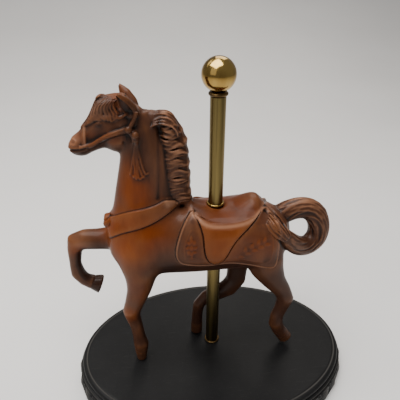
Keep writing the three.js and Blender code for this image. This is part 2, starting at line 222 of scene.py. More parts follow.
def ranged(value, low, high, from_low=0.0, from_high=1.0):
    """The value moved from one range to another."""
    spread = value.id_data.nodes.new("ShaderNodeMapRange")
    ends = {"From Min": from_low, "From Max": from_high, "To Min": low, "To Max": high}
    for end_name, end in ends.items():
        spread.inputs[end_name].default_value = end
    value.id_data.links.new(value, spread.inputs["Value"])
    return spread.outputs["Result"]


def bump_from(height, strength, distance):
    """The normals of a bump with this height."""
    bump = height.id_data.nodes.new("ShaderNodeBump")
    bump.inputs["Strength"].default_value = strength
    bump.inputs["Distance"].default_value = distance
    height.id_data.links.new(height, bump.inputs["Height"])
    return bump.outputs["Normal"]


def speckle_group():
    """Scratches and dust: a mask of fine hair scratches and one of small pale specks."""
    group = bpy.data.node_groups.new("scratches and dust", "ShaderNodeTree")
    group.interface.new_socket(name="Place", in_out="INPUT", socket_type="NodeSocketVector")
    group.interface.new_socket(name="Speck size", in_out="INPUT", socket_type="NodeSocketFloat")
    for mask_name in ("Scratches", "Specks"):
        group.interface.new_socket(name=mask_name, in_out="OUTPUT", socket_type="NodeSocketFloat")
    inlet, outlet = group.nodes.new("NodeGroupInput"), group.nodes.new("NodeGroupOutput")
    stretch = group.nodes.new("ShaderNodeMapping")
    stretch.inputs["Scale"].default_value = (1.0, 14.0, 1.0)
    stretch.inputs["Rotation"].default_value = (0.0, 0.0, 0.5)
    group.links.new(inlet.outputs["Place"], stretch.inputs["Vector"])
    hair = noise_on(stretch.outputs["Vector"], 60.0, 5.0, 0.7)
    specks = group.nodes.new("ShaderNodeTexVoronoi")
    group.links.new(inlet.outputs["Place"], specks.inputs["Vector"])
    group.links.new(inlet.outputs["Speck size"], specks.inputs["Scale"])
    group.links.new(ramp_on(hair, [(0.6, 0.0), (0.72, 1.0)]), outlet.inputs["Scratches"])
    speck_mask = ramp_on(specks.outputs["Distance"], [(0.04, 1.0), (0.12, 0.0)])
    group.links.new(speck_mask, outlet.inputs["Specks"])
    return group


scratches_and_dust = speckle_group()


def marks_on(place, speck_size):
    """The masks of the scratches and dust at this place."""
    marks = place.id_data.nodes.new("ShaderNodeGroup")
    marks.node_tree = scratches_and_dust
    marks.inputs["Speck size"].default_value = speck_size
    place.id_data.links.new(place, marks.inputs["Place"])
    return marks.outputs


def keep_mask(mesh, name, values):
    """Keeps a number from 0 to 1 on each vertex for the material."""
    layer = mesh.attributes.new(name, "FLOAT", "POINT")
    layer.data.foreach_set("value", np.clip(values, 0, 1).astype(np.float32))


def mask_from(tree, name):
    """The mask that the mesh carries under this name."""
    reader = tree.nodes.new("ShaderNodeAttribute")
    reader.attribute_name = name
    return reader.outputs["Fac"]


def new_material(name, roughness, metallic=0.0, coat=0.0, coat_roughness=0.2, specular=0.5):
    """A Principled material with its fixed numbers, its node tree and its shader."""
    material = bpy.data.materials.new(name)
    material.use_nodes = True
    shader = material.node_tree.nodes["Principled BSDF"]
    numbers = {
        "Roughness": roughness, "Metallic": metallic, "Coat Weight": coat,
        "Coat Roughness": coat_roughness, "Specular IOR Level": specular,
    }
    for number_name, number in numbers.items():
        shader.inputs[number_name].default_value = number
    return material, material.node_tree, shader


def connect(shader, colour, roughness, normal):
    """Gives the shader its colour, roughness and normals."""
    for socket_name, socket in (("Base Color", colour), ("Roughness", roughness), ("Normal", normal)):
        shader.id_data.links.new(socket, shader.inputs[socket_name])


def black_paint():
    """Satin black over wood: faint open grain, dust, rubbed carving, and pale lines on two thin edges."""
    material, tree, shader = new_material("black paint", 0.5, coat=0.03, coat_roughness=0.3, specular=0.16)
    place = mapped(tree)
    cloud = noise_on(place, 22.0, 5.0, 0.6)
    paint = ramp_on(cloud, [(0.3, (0.004, 0.004, 0.0045)), (0.75, (0.009, 0.0088, 0.009))])
    rubbed = mix_colours(mask_from(tree, "rubbed carving and pale edge lines"), paint, (0.085, 0.078, 0.07))
    marks = marks_on(place, 420.0)
    dusty = mix_colours(marks["Specks"], rubbed, (0.035, 0.034, 0.032))
    scratched = mix_colours(weakened(marks["Scratches"], 0.35), dusty, (0.045, 0.045, 0.042))
    uneven = noise_on(place, 45.0, 6.0, 0.65)
    grain = noise_on(mapped(tree, (1.0, 16.0, 16.0)), 40.0, 6.0, 0.6)
    connect(shader, scratched, ranged(uneven, 0.42, 0.62), bump_from(grain, 0.12, 0.0004))
    return material


leaf_tops = np.clip(1.0 - hollow * 2.2, 0, 1)
on_band = np.clip((16.5 - height) / 2.0, 0, 1) * np.clip(height / 3.0, 0, 1)
# Pale lines along the top of the cove and along the slab's top just inside its rounded edge.
thin_edges = np.exp(-(((height - 18.4) / 0.5) ** 2))
thin_edges += 0.9 * np.exp(-(((inset - 9.5) / 0.45) ** 2)) * (height > 24)
base_mesh = mesh_from(base_maker, "base")
keep_mask(base_mesh, "rubbed carving and pale edge lines", 0.5 * leaf_tops**3 * on_band + 0.55 * thin_edges)
base_piece = link_piece("black_base", base_mesh, black_paint())
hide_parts("base")

# Pole, rings and ball: aged brass. The pole is a half-inch tube that stands in the base and goes up
# through the belly and the saddle, and a bead ring closes each hole. A darker bead collar carries the
# ball. Each is a profile spun round the pole's axis.
POLE_SETBACK = 5
POLE_DIAMETER = 12.7
POLE_HEIGHT = 263.5
POLE_CHAMFER = 0.4
POLE_STEPS = 30
SOCKET_DEPTH = 14
COLLAR_DIAMETER = 15.6
COLLAR_BORE_RADIUS = 3.3
COLLAR_HEIGHT = 3
BALL_DIAMETER = 26.8
BALL_FLAT_SHARE = 0.38
BALL_STEPS = 48
SPIGOT_RADIUS = 3
SPIGOT_DEPTH = 8
RING_DIAMETER = 15.4
RING_HEIGHT = 1.8
SEAT_TOP = 168.6
SEAT_GAP = 0.3
SPUN_SIDES = 96


def spun(profile, name):
    """A turned piece on the pole's axis from [radius, height] points above the base's top."""
    bm = bmesh.new()
    places = [(radius * MM, POLE_SETBACK * MM, (BASE_HEIGHT + up) * MM) for radius, up in profile]
    points = [bm.verts.new(place) for place in places]
    edges = [bm.edges.new(pair) for pair in zip(points, points[1:])]
    turn = {"cent": (0, POLE_SETBACK * MM, 0), "axis": (0, 0, 1), "angle": 2 * pi}
    bmesh.ops.spin(bm, geom=points + edges, steps=SPUN_SIDES, use_merge=True, **turn)
    bmesh.ops.remove_doubles(bm, verts=bm.verts, dist=1e-7)
    return mesh_from(bm, name, 35)


def aged_brass(name, bright, dull, roughness, tarnish_and_reflection_stretch=0.35, tarnish_and_reflection_size=60.0):
    """Brass with tarnish in clouds or in streaks partly painted as reflection, fine rubbing marks along the
    pole, small dark spots.
    """
    material, tree, shader = new_material(name, roughness, metallic=1.0)
    cloud = noise_on(mapped(tree, (1, 1, tarnish_and_reflection_stretch)), tarnish_and_reflection_size, 5.0, 0.5)
    tarnish_and_reflection = ramp_on(cloud, [(0.42, bright), (0.62, dull)])
    spotted = mix_colours(marks_on(mapped(tree), 700.0)["Specks"], tarnish_and_reflection, (0.12, 0.07, 0.02))
    wipe = noise_on(mapped(tree, (1, 1, 0.06)), 900.0, 3.0, 0.5)
    connect(shader, spotted, ranged(wipe, roughness * 0.75, roughness * 1.5), bump_from(wipe, 0.05, 0.0002))
    return material


def bead_profile(inner, outer, bottom, height):
    """A half-round bead whose ends meet inside."""
    points = [(inner, bottom)]
    for i in range(13):
        angle = -pi / 2 + pi * i / 12
        points.append((outer - height / 2 * (1 - cos(angle)), bottom + height / 2 * (1 + sin(angle))))
    return points + [(inner, bottom + height), (inner, bottom)]


# The pole's tarnish is stretched into fine vertical streaks: partly tarnish, partly painted reflection
# stripes.
pole_brass = aged_brass("pole brass", (0.2, 0.15, 0.055), (0.075, 0.056, 0.025), 0.3, 0.015, 230.0)
ball_brass = aged_brass("ball brass", (0.45, 0.3, 0.09), (0.27, 0.16, 0.042), 0.13)
collar_brass = aged_brass("collar brass", (0.16, 0.1, 0.04), (0.06, 0.035, 0.015), 0.35)
pole_radius = POLE_DIAMETER / 2
pole_foot = SEAT_GAP - SOCKET_DEPTH
pole_profile = [(0, pole_foot), (pole_radius, pole_foot)]
shaft = POLE_HEIGHT - POLE_CHAMFER - pole_foot
pole_profile += [(pole_radius, pole_foot + shaft * i / POLE_STEPS) for i in range(1, POLE_STEPS + 1)]
pole_profile += [(pole_radius - POLE_CHAMFER, POLE_HEIGHT), (0, POLE_HEIGHT)]
pole_piece = link_piece("brass_pole", spun(pole_profile, "pole"), pole_brass)
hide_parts("pole")

for node, bottom, ring_brass in (
    ("base_ring", SEAT_GAP, collar_brass), ("saddle_ring", SEAT_TOP + SEAT_GAP, ball_brass),
):
    ring_profile = bead_profile(pole_radius + SEAT_GAP, RING_DIAMETER / 2, bottom, RING_HEIGHT)
    ring_piece = link_piece(node + "_bead", spun(ring_profile, node), ring_brass)
    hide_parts(node)

collar_bottom = POLE_HEIGHT + SEAT_GAP
collar_profile = bead_profile(COLLAR_BORE_RADIUS, COLLAR_DIAMETER / 2, collar_bottom, COLLAR_HEIGHT)
collar_piece = link_piece("collar_bead", spun(collar_profile, "pole_collar"), collar_brass)
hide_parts("pole_collar")

ball_radius = BALL_DIAMETER / 2
ball_seat = POLE_HEIGHT + COLLAR_HEIGHT + 2 * SEAT_GAP
flat_angle = asin(BALL_FLAT_SHARE)
ball_centre = ball_seat + ball_radius * cos(flat_angle)
spigot_foot = POLE_HEIGHT - SPIGOT_DEPTH
ball_profile = [(0, spigot_foot), (SPIGOT_RADIUS, spigot_foot), (SPIGOT_RADIUS, ball_seat)]
for i in range(BALL_STEPS):
    angle = flat_angle + (pi - flat_angle) * i / BALL_STEPS
    ball_profile.append((ball_radius * sin(angle), ball_centre - ball_radius * cos(angle)))
ball_profile.append((0, ball_centre + ball_radius))
ball_piece = link_piece("brass_ball", spun(ball_profile, "finial_ball"), ball_brass)
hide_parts("finial_ball")

# Horse: one casting in a wood-toned resin, stained brown and rubbed back, with its saddle, cloth, bridle,
# mane and tail all in the same piece. It is made like a carving: the plain figure is softened, the hair,
# cords and ears are laid on as strands and shells, all is fused to one skin, and the rest is cut in.
PLAIN_VOXEL = 0.95
FINE_VOXEL = 0.5
MOST_TRIANGLES = 190000
ROUNDING_STEPS = 60
SIDES = (-1, 1)
hair_wander = np.random.default_rng(7)


def to_row(points):
    """Millimetres from the pole's foot on the base to metres in the part's own frame."""
    return (np.asarray(points, float) + (0, POLE_SETBACK, BASE_HEIGHT)) * MM


def from_foot(rows):
    """The other way: metres in the part's own frame to millimetres from the pole's foot on the base."""
    return rows / MM - (0, POLE_SETBACK, BASE_HEIGHT)


def evaluated_mesh(data, *modifiers):
    """The mesh that this data gives with these modifiers, each a kind and its settings."""
    bench = bpy.data.objects.new("bench", data)
    bpy.context.collection.objects.link(bench)
    for kind, settings in modifiers:
        modifier = bench.modifiers.new(kind, kind)
        for setting, value in settings.items():
            setattr(modifier, setting, value)
    view = bpy.context.evaluated_depsgraph_get()
    made = bpy.data.meshes.new_from_object(bench.evaluated_get(view))
    bpy.data.objects.remove(bench)
    return made


def fused(mesh, voxel, softness):
    """The mesh as one even skin of this voxel size in millimetres, softened so many times."""
    return evaluated_mesh(
        mesh,
        ("REMESH", {"mode": "VOXEL", "voxel_size": voxel * MM, "adaptivity": 0}),
        ("SMOOTH", {"factor": 0.5, "iterations": softness}),
    )


def smooth_path(stations, count):
    """Rows along a smooth curve through the stations, with any sizes in them carried along."""
    rows = np.asarray(stations, float)
    padded = np.vstack([2 * rows[0] - rows[1], rows, 2 * rows[-1] - rows[-2]])
    spots = np.linspace(0, len(rows) - 1, count)
    k = np.minimum(spots.astype(int), len(rows) - 2)
    t = (spots - k)[:, None]
    a, b, c, d = (padded[k + j] for j in range(4))
    return 0.5 * (2 * b + (c - a) * t + (2 * a - 5 * b + 4 * c - d) * t**2 + (3 * b - a - 3 * c + d) * t**3)


def strands(locks):
    """Round tapering strands as one mesh. A lock is a list of (place in metres, radius in millimetres)."""
    curve = bpy.data.curves.new("strands", "CURVE")
    curve.dimensions = "3D"
    curve.bevel_depth = MM
    curve.bevel_resolution = 2
    curve.resolution_u = 3
    curve.use_fill_caps = True
    for lock in locks:
        spline = curve.splines.new("NURBS")
        spline.points.add(len(lock) - 1)
        for point, (place, radius) in zip(spline.points, lock):
            point.co = (*place, 1)
            point.radius = radius
        spline.order_u = min(4, len(lock))
        spline.use_endpoint_u = True
    return evaluated_mesh(curve)


def tapered(places, radius, ends):
    """A lock of this radius in the middle whose ends taper to a share of it."""
    swell = np.clip(np.sin(np.linspace(0, pi, len(places))), 0, 1) ** 0.6
    return [(place, radius * (ends + (1 - ends) * share)) for place, share in zip(places, swell)]


figure_maker = bmesh.new()
figure_maker.from_mesh(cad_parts["horse"].data)
bmesh.ops.remove_doubles(figure_maker, verts=figure_maker.verts, dist=1e-6)
figure_mesh = fused(plain_mesh(figure_maker, "plain figure"), PLAIN_VOXEL, 5)


def web_of(mesh):
    """The mesh's edges as pairs of vertex numbers, and how many neighbours each vertex has."""
    pairs = np.empty(len(mesh.edges) * 2, np.int32)
    mesh.edges.foreach_get("vertices", pairs)
    pairs = pairs.reshape(-1, 2)
    return pairs, np.bincount(pairs.ravel(), minlength=len(mesh.vertices)).astype(float)


def neighbour_mean(rows, web):
    """Each vertex's rows averaged over its neighbours."""
    pairs, counts = web
    total = np.zeros_like(rows)
    for column in range(rows.shape[1]):
        total[:, column] = np.bincount(pairs[:, 0], rows[pairs[:, 1], column], len(rows))
        total[:, column] += np.bincount(pairs[:, 1], rows[pairs[:, 0], column], len(rows))
    return total / counts[:, None]


def evened(values, web, rounds):
    """One value for each vertex, evened out with its neighbours so many times."""
    for _ in range(rounds):
        values = 0.5 * values + 0.5 * neighbour_mean(values[:, None], web)[:, 0]
    return values


def softened(places, share, web, rounds):
    """The places moved towards the middle of their neighbours by their share, so many times."""
    for _ in range(rounds):
        places = places + share[:, None] * (neighbour_mean(places, web) - places)
    return places


def spot(x, z, centre_x, centre_z, reach_x, reach_z):
    """A soft spot in the side view: 1 at its centre, fading out over its reach."""
    return np.exp(-(((x - centre_x) / reach_x) ** 2 + ((z - centre_z) / reach_z) ** 2))


def normals_of(mesh):
    """The mesh's vertex normals as rows."""
    rows = np.empty(len(mesh.vertices) * 3, np.float32)
    mesh.vertex_normals.foreach_get("vector", rows)
    return rows.reshape(-1, 3).astype(float)


# The body, the neck and the thighs are rounded much more than the head, the hair, the feet and the saddle,
# and get back along their normals what the rounding takes. The neck is plain under the tassel.
NECK_SQUARENESS = 2.1
GIVEN_BACK = 0.35
figure_places = read_places(figure_mesh)
x, y, z = from_foot(figure_places).T
neck_middle, neck_depth, neck_width = (
    np.interp(z, [190, 208, 226], sizes) for sizes in ([-59.5, -58.5, -58], [25, 22, 19], [16, 14.4, 12.8])
)
neck_bow = np.clip(1 - np.abs((x - neck_middle) / neck_depth) ** NECK_SQUARENESS, 0, 1)
neck_side = np.sign(y) * np.minimum(np.abs(y), neck_width * neck_bow ** (1 / NECK_SQUARENESS))
under_tassel = (np.abs(x + 65) < 9.5) & (z > 197) & (z < 233) & (np.abs(y) > 8)
figure_places[under_tassel, 1] = (POLE_SETBACK + neck_side[under_tassel]) * MM
roundness = np.interp(z, [20, 60, 95, 105], [0.12, 0.25, 0.7, 1.0])
roundness *= np.interp(z, [212, 232], [1.0, 0.12])
roundness *= np.where(z > 176, np.interp(x, [-52, -44], [1.0, 0.1]), 1.0)
roundness *= np.where(z > 112, np.interp(x, [54, 64], [1.0, 0.12]), 1.0)
roundness *= np.where(x < -92, np.interp(x, [-112, -96], [0.35, 1.0]), 1.0)
seat_top = (x > -26) & (x < 44) & (z > 158)
medallion = (x < -90) & (np.abs(y) < 8) & (z > 151) & (z < 167)
tail_end = (y < -20) & (x > 40) & (z > 118) & (z < 165)
for firm, most in ((seat_top, 0.62), (medallion, 0.05), (tail_end, 0.3)):
    roundness[firm] = np.minimum(roundness[firm], most)
figure_web = web_of(figure_mesh)
roundness = evened(roundness, figure_web, 4)
figure_places = softened(figure_places, roundness**1.5 * 0.8, figure_web, ROUNDING_STEPS)
move_to(figure_mesh, figure_places)
figure_places += normals_of(figure_mesh) * (GIVEN_BACK * roundness * MM)[:, None]
move_to(figure_mesh, figure_places)

# The saddle's top falls from its middle to the edge in one smooth dished sweep. Each station is a place
# along the horse, with the height of the seat's middle and its half width there.
SEAT_STATIONS = [
    (-22, 174.2, 9), (-19, 173.6, 12), (-9, 170, 19.4), (4, 168.2, 21.2), (16, 169.8, 21.2),
    (25, 173.4, 20), (31, 175.8, 17.5), (36, 176, 14.5), (40, 173.4, 10),
]
SEAT_EDGE = [
    (-23, 169.5), (-15, 163.6), (-8, 160.6), (1, 159.6), (10.5, 159.6),
    (20, 160.7), (28, 162.7), (33, 165), (37, 167), (41, 169),
]
SEAT_FALL = 2.4
SEAT_SOFTENING = 10
x, y, z = from_foot(figure_places).T
seat_x, seat_height, seat_width = np.array(SEAT_STATIONS).T
edge_x, edge_height = np.array(SEAT_EDGE).T
share_out = np.minimum(1, np.abs(y) / np.interp(x, seat_x, seat_width))
middle_height = np.interp(x, seat_x, seat_height)
swept = middle_height - (middle_height - np.interp(x, edge_x, edge_height)) * share_out**SEAT_FALL
in_bore = np.hypot(x, y) < RING_DIAMETER / 2 + 1.2
faces_up = (normals_of(figure_mesh)[:, 2] > 0.1) & (share_out < 1)
on_top = (x > -21) & (x < 39.5) & (z > 157.5) & (faces_up | (z > swept)) & ~in_bore
figure_places[:, 2] += (np.where(on_top, swept, z) - z) * MM
top_share = 0.5 * evened(on_top * 1.0, figure_web, 3) * ~in_bore
figure_places = softened(figure_places, top_share, figure_web, SEAT_SOFTENING)
move_to(figure_mesh, figure_places)
skin_maker = bmesh.new()
skin_maker.from_mesh(figure_mesh)
skin_tree = BVHTree.FromBMesh(skin_maker)


def on_skin(x, z, side, proud):
    """The place on the horse's near or far flank at x and z in millimetres, raised by so much."""
    start = Vector(to_row((x, side * 80, z)))
    hit, normal, _, _ = skin_tree.ray_cast(start, Vector((0, -side, 0)))
    if hit is None:
        return None
    return hit + normal * proud * MM


def skin_line(points, side, proud, count):
    """Places along the flank under a smooth line of [x, z] points."""
    places = [on_skin(x, z, side, proud) for x, z in smooth_path(points, count)]
    return [place for place in places if place is not None]


def laid_on(rows, proud):
    """The rows in millimetres moved onto the nearest skin, and raised by so much."""
    laid = []
    for row in rows:
        hit, normal, _, _ = skin_tree.find_nearest(Vector(to_row(row)))
        laid.append(hit + normal * proud * MM)
    return laid


# Mane: wavy locks that leave the groove behind the neck, run back level and turn down at the crest's edge.
MANE_BACK = [
    (256, -47), (253, -39), (249, -33.5), (246.5, -32), (243, -28.5), (237.5, -26.8), (232, -26.6),
    (228, -24), (222, -22), (216, -22.8), (210, -21.2), (202, -20.8), (194, -21.4), (187, -21.8),
    (182, -19.8), (176, -18.6),
]
MANE_FRONT = [(256, -50), (250, -47), (240, -46), (215, -47), (190, -48.5), (174, -48)]
CLUMP_LEVELS = [246, 237.6, 229.2, 220.8, 212.4, 204, 195.6, 187.2, 180]
LOCKS_PER_CLUMP = 6
LOCK_SPACING = 1.42
CREST = [(-55, 247.4), (-50, 251.4), (-43.5, 252.8), (-37, 250.4), (-33.2, 245.4), (-32, 242)]
CREST_LOCKS = 8
CREST_STEPS = 14


def between(table, height):
    """Reads a table of (height, value) rows at a height."""
    rows = np.array(sorted(table))
    return float(np.interp(height, rows[:, 0], rows[:, 1]))


mane_locks = []
for side in SIDES:
    for middle in CLUMP_LEVELS:
        sway = 2.4 * hair_wander.random()
        for k in range(LOCKS_PER_CLUMP):
            off_middle = k - (LOCKS_PER_CLUMP - 1) / 2
            offset = off_middle * LOCK_SPACING
            level = middle + offset
            back, front = between(MANE_BACK, level), between(MANE_FRONT, level)
            half_width = 8.9 + 1.6 * np.interp(level, [176, 200, 240, 256], [0.4, 1, 0.9, -2.2])
            wave, phase = 0.6 + 0.7 * hair_wander.random(), sway + 0.9 * hair_wander.random()
            start = front + 5.0 * hair_wander.random() - 1.6
            stop = back - 0.6 - 0.35 * abs(off_middle) - 1.2 * hair_wander.random()
            places = []
            for t in np.linspace(0, 1, 12):
                x = start + (stop - start) * t
                y = side * half_width * (1 - t**2.6) ** 0.5 * (1 - 0.5 * (1 - t) ** 4)
                drop = 5.2 * max(0.0, t - 0.5) ** 1.4
                gather = 1 - 0.5 * t**1.5
                height = middle + offset * gather + wave * sin(8.5 * t + phase) - drop
                places.append(to_row((x, y, height)))
            mane_locks.append(tapered(places, 0.95 + 0.35 * hair_wander.random(), 0.4))
for side in SIDES:
    for k in range(CREST_LOCKS):
        rows = smooth_path([(x, side * (0.6 + 1.25 * k), z - 0.15 * k**2) for x, z in CREST], CREST_STEPS)
        rows[:, 2] += 0.5 * np.sin(np.linspace(0, 9, CREST_STEPS) + 1.9 * k) + 0.7 * (k % 2)
        mane_locks.append(tapered([to_row(row) for row in rows], 0.85, 0.4))

# Tail: long locks laid side by side round the loop, with a slight twist. They narrow together on the near
# haunch, where a few loose locks fan out. Each station has its place, and its half depth and half width.
TAIL = [
    [50, 0, 149, 8, 9], [62, 0, 154, 9.4, 9], [72, -1, 159, 9.8, 8.6], [84, -2, 159.6, 10, 8.2],
    [93.6, -3, 152, 10, 8.2], [98, -4, 138.5, 9.8, 8.2], [94.6, -6, 127, 10, 8.2],
    [84, -9, 122.5, 9.8, 8.2], [73, -13.5, 128, 8.8, 7.8], [63, -18.5, 138.5, 7.6, 6.8],
    [55.5, -20.5, 148, 5.6, 4], [49, -19, 156, 2.6, 2],
]
TAIL_ROWS = 45
TAIL_LOCKS = 30
TAIL_TWIST = 1.8
LOCK_INSET = 0.7
tail_rows = smooth_path(TAIL, TAIL_ROWS)
tail_middle = tail_rows[:, :3]
tail_ahead = np.gradient(tail_middle, axis=0)
tail_ahead /= np.linalg.norm(tail_ahead, axis=1)[:, None]
tail_up = np.cross(tail_ahead, (0, 1, 0))
tail_up /= np.linalg.norm(tail_up, axis=1)[:, None]
tail_across = np.cross(tail_up, tail_ahead)
tail_locks = []
for k in range(TAIL_LOCKS):
    start_angle = 2 * pi * k / TAIL_LOCKS
    wobble = 0.16 + 0.12 * hair_wander.random()
    phase = 6 * hair_wander.random()
    last = TAIL_ROWS - int(5 * hair_wander.random())
    lock = []
    for i in range(0, last, 2):
        share = i / (TAIL_ROWS - 1)
        angle = start_angle + TAIL_TWIST * share + wobble * sin(13 * share + phase)
        depth, width = tail_rows[i, 3] - LOCK_INSET, tail_rows[i, 4] - LOCK_INSET
        place = tail_middle[i] + tail_up[i] * depth * cos(angle) + tail_across[i] * width * sin(angle)
        lock.append((to_row(place), 1.2 * (0.3 + 0.7 * min(1, depth / 8))))
    tail_locks.append(lock)
for spread in range(-3, 4):
    fan = [
        (60.5 + 0.9 * spread, 143 + 0.8 * spread), (54.5 + 1.3 * spread, 150 + 1.1 * spread),
        (49 + 1.4 * spread, 156 + 1.3 * spread), (44.5 + 1.1 * spread, 161 + 1.2 * spread),
    ]
    tail_locks.append(tapered(skin_line(fan, -1, 0.25 + 0.4 * (spread % 2), 14), 0.85, 0.3))

# Forelock: short locks from between the ears, over the brow and down the face, with curled ends.
FORELOCK_TIPS = [
    (-103.5, 243.2, 1.0), (-102, 244.6, 3.2), (-100, 246.6, 5.0), (-98, 249, 6.6),
    (-95.6, 251, 8.0), (-93, 252.2, 9.2), (-90, 252.4, 10.0), (-87, 251.8, 10.6),
    (-84, 251.4, 11.2), (-81, 251.2, 11.6), (-78, 251.6, 11.8), (-75, 252.6, 11.6),
]
STRANDS_PER_TIP = 4
STRAND_STEPS = 20
forelock_locks = []
for side in SIDES:
    for k, (x, z, y) in enumerate(FORELOCK_TIPS):
        share = k / (len(FORELOCK_TIPS) - 1)
        for strand in range(STRANDS_PER_TIP):
            longer = 2.6 * hair_wander.random() - 1.3
            across = 0.55 * (strand - (STRANDS_PER_TIP - 1) / 2)
            root = (-71 + 2 * share, side * (1.0 + 5 * share), 267 - 2 * share)
            crown = (-87 + 11 * share + across, side * (0.8 + 7.4 * share), 268 - 3.4 * share)
            brow_x, brow_z = (crown[0] + x) / 2 - 3.4 + across, (crown[2] + z) / 2 + 2
            brow = (brow_x, side * (0.45 * abs(crown[1]) + 0.62 * y), brow_z)
            low = (x - 0.8 + across, side * y, z - longer)
            hook = (x + 2.6 + 1.6 * share + across, side * (y + 0.6), z + 0.4 + 1.3 * share - 0.5 * longer)
            rows = smooth_path([root, crown, brow, low, hook], STRAND_STEPS)
            sway = np.sin(np.linspace(0, 11, STRAND_STEPS) + 0.7 * k + 0.5 * strand)
            sway *= np.linspace(0.3, 1.0, STRAND_STEPS)
            rows += sway[:, None] * np.array([1.1, 0, 0.4])
            laid = laid_on(rows, 0.1 + 0.45 * (strand % 2) + 0.3 * hair_wander.random())
            first = 0 if (k + strand) % 3 == 0 else 7
            forelock_locks.append(tapered(laid[first:], 0.62, 0.35))
for across in (-1.5, 0, 1.5):
    middle_lock = [
        (-90.5, across, 265), (-95.5, across, 257.5), (-100, across, 250.5), (-103.6, across, 245.6),
    ]
    forelock_locks.append(tapered(laid_on(smooth_path(middle_lock, 12), 0.25), 0.95, 0.5))
curl = [(-84, 265.4), (-87.4, 266.7), (-89.8, 266), (-90.6, 264.6)]
for across in (-3.2, -1.6, 0, 1.6, 3.2):
    rows = [to_row((x + 0.3 * across, across, z - 0.06 * across**2)) for x, z in smooth_path(curl, 8)]
    forelock_locks.append(tapered(rows, 0.85, 0.4))

# Bridle: cheek strap, jaw strap and noseband lie on the skin, and a tassel of cords hangs from its knot.
CHEEK_STRAP = [(-62.5, 256.5), (-65, 250), (-68.5, 244)]
JAW_STRAP = [(-107, 229.2), (-97.7, 231.9), (-92.1, 235.4), (-82.9, 240.3), (-70.8, 243.8)]
NOSEBAND = [(-102.2, 244.6), (-102.7, 240), (-103, 236), (-103.2, 231.5)]
TASSEL_SPREADS = (-1, -0.55, -0.2, 0.15, 0.5, 1)


def cord(places, radius):
    """A cord of one radius along these places."""
    return [(place, radius) for place in places]


bridle_locks = []
for side in SIDES:
    bridle_locks.append(cord(skin_line(CHEEK_STRAP, side, 0.5, 6), 1.6))
    jaw = skin_line(JAW_STRAP, side, 0.25, 12)
    bridle_locks.append(cord(jaw, 1.35))
    bridle_locks.append(cord([place - Vector((0, 0, 1.3 * MM)) for place in jaw[2:]], 1.2))
    for shift in (-1.1, 0, 1.1):
        nose = [(x + shift, z) for x, z in NOSEBAND]
        bridle_locks.append(cord(skin_line(nose, side, -0.1, 8), 0.85))
    for k, spread in enumerate(TASSEL_SPREADS):
        fall = [
            (-63.6, 238), (-64.4 + 1.7 * spread, 227), (-64.8 + 3.4 * spread, 214),
            (-64.4 + 6.2 * spread, 203.2 + 4 * abs(spread) ** 1.5),
            (-63.4 + 7.4 * spread, 204.4 + 3.6 * abs(spread)),
        ]
        tassel = smooth_path(fall, 16)
        tassel[:, 0] += 0.5 * np.sin(np.linspace(0, 9, 16) + 1.9 * k)
        bridle_locks.append(cord(skin_line(tassel, side, 0.3, 16), 0.62))

# Ears, eyes and knots: leaf-shaped ears, and lumps for the eyes and the bridle's knots, with lids and brows.
EAR_HALF_THICKNESS = 3.6
EAR_HALF_WIDTH = 5.2


def ball_of(centre, sizes):
    """A round lump about a place in metres, with half sizes in millimetres."""
    lump = bmesh.new()
    spread = Matrix.Diagonal((*(size * MM for size in sizes), 1))
    bmesh.ops.create_icosphere(lump, subdivisions=3, radius=1, matrix=Matrix.Translation(centre) @ spread)
    return plain_mesh(lump, "lump")


def ear_frame(side):
    """The ear's root and tip, the way along it and the way that its hollow faces."""
    root, tip = Vector((-65.2, side * 8.6, 254)), Vector((-76.2, side * 16.6, 270.4))
    lengthwise = (tip - root).normalized()
    opening = Vector((-0.4, side * 0.9, 0.1))
    opening = (opening - opening.dot(lengthwise) * lengthwise).normalized()
    return root, tip, lengthwise, opening


def ear_girth(up):
    """The ear's girth at this share of its length, which narrows it to a leaf's tip."""
    return (1 - up**2.6) * 0.8 + 0.2 * (1 - up)


def ear(side):
    """A leaf-shaped ear that leans out and forward, before its hollow is cut."""
    root, tip, lengthwise, opening = ear_frame(side)
    turn = Matrix((-opening, lengthwise.cross(-opening), lengthwise)).transposed().to_4x4()
    shell = bmesh.new()
    bmesh.ops.create_uvsphere(shell, u_segments=32, v_segments=26, radius=1)
    for vert in shell.verts:
        girth = ear_girth((vert.co.z + 1) / 2)
        vert.co.x *= girth
        vert.co.y *= girth
    half_length = (tip - root).length / 2
    spread = Matrix.Diagonal((EAR_HALF_THICKNESS * MM, EAR_HALF_WIDTH * MM, half_length * MM, 1))
    place = Matrix.Translation(to_row((root + tip) / 2))
    bmesh.ops.transform(shell, matrix=place @ turn @ spread, verts=shell.verts)
    return plain_mesh(shell, "ear")


lumps = [ear(side) for side in SIDES]
lid_locks = []
for side in SIDES:
    lumps.append(ball_of(on_skin(-68.9, 243.4, side, 0.6), (2.6, 1.9, 2.6)))
    lumps.append(ball_of(on_skin(-64.4, 239.6, side, 1.0), (2.5, 2.2, 3.0)))
    lumps.append(ball_of(on_skin(-90.7, 246.6, side, -1.1), (2.0, 1.9, 1.6)))
    upper = skin_line([(-93.6, 245.0), (-92.4, 247.6), (-90.2, 248.7), (-87.8, 247.6)], side, 0.2, 8)
    lower = skin_line([(-93.2, 244.8), (-91.6, 244.2), (-89.4, 244.9)], side, -0.15, 6)
    lid_locks += [tapered(upper, 0.65, 0.3), tapered(lower, 0.5, 0.3)]
    brow = skin_line([(-94.5, 249.4), (-91.4, 251.0), (-88, 250.4)], side, 0.1, 7)
    lid_locks.append(tapered(brow, 1.35, 0.4))

for part in (strands(mane_locks + tail_locks + forelock_locks + bridle_locks + lid_locks), *lumps):
    skin_maker.from_mesh(part)
horse_mesh = fused(plain_mesh(skin_maker, "dressed figure"), FINE_VOXEL, 2)

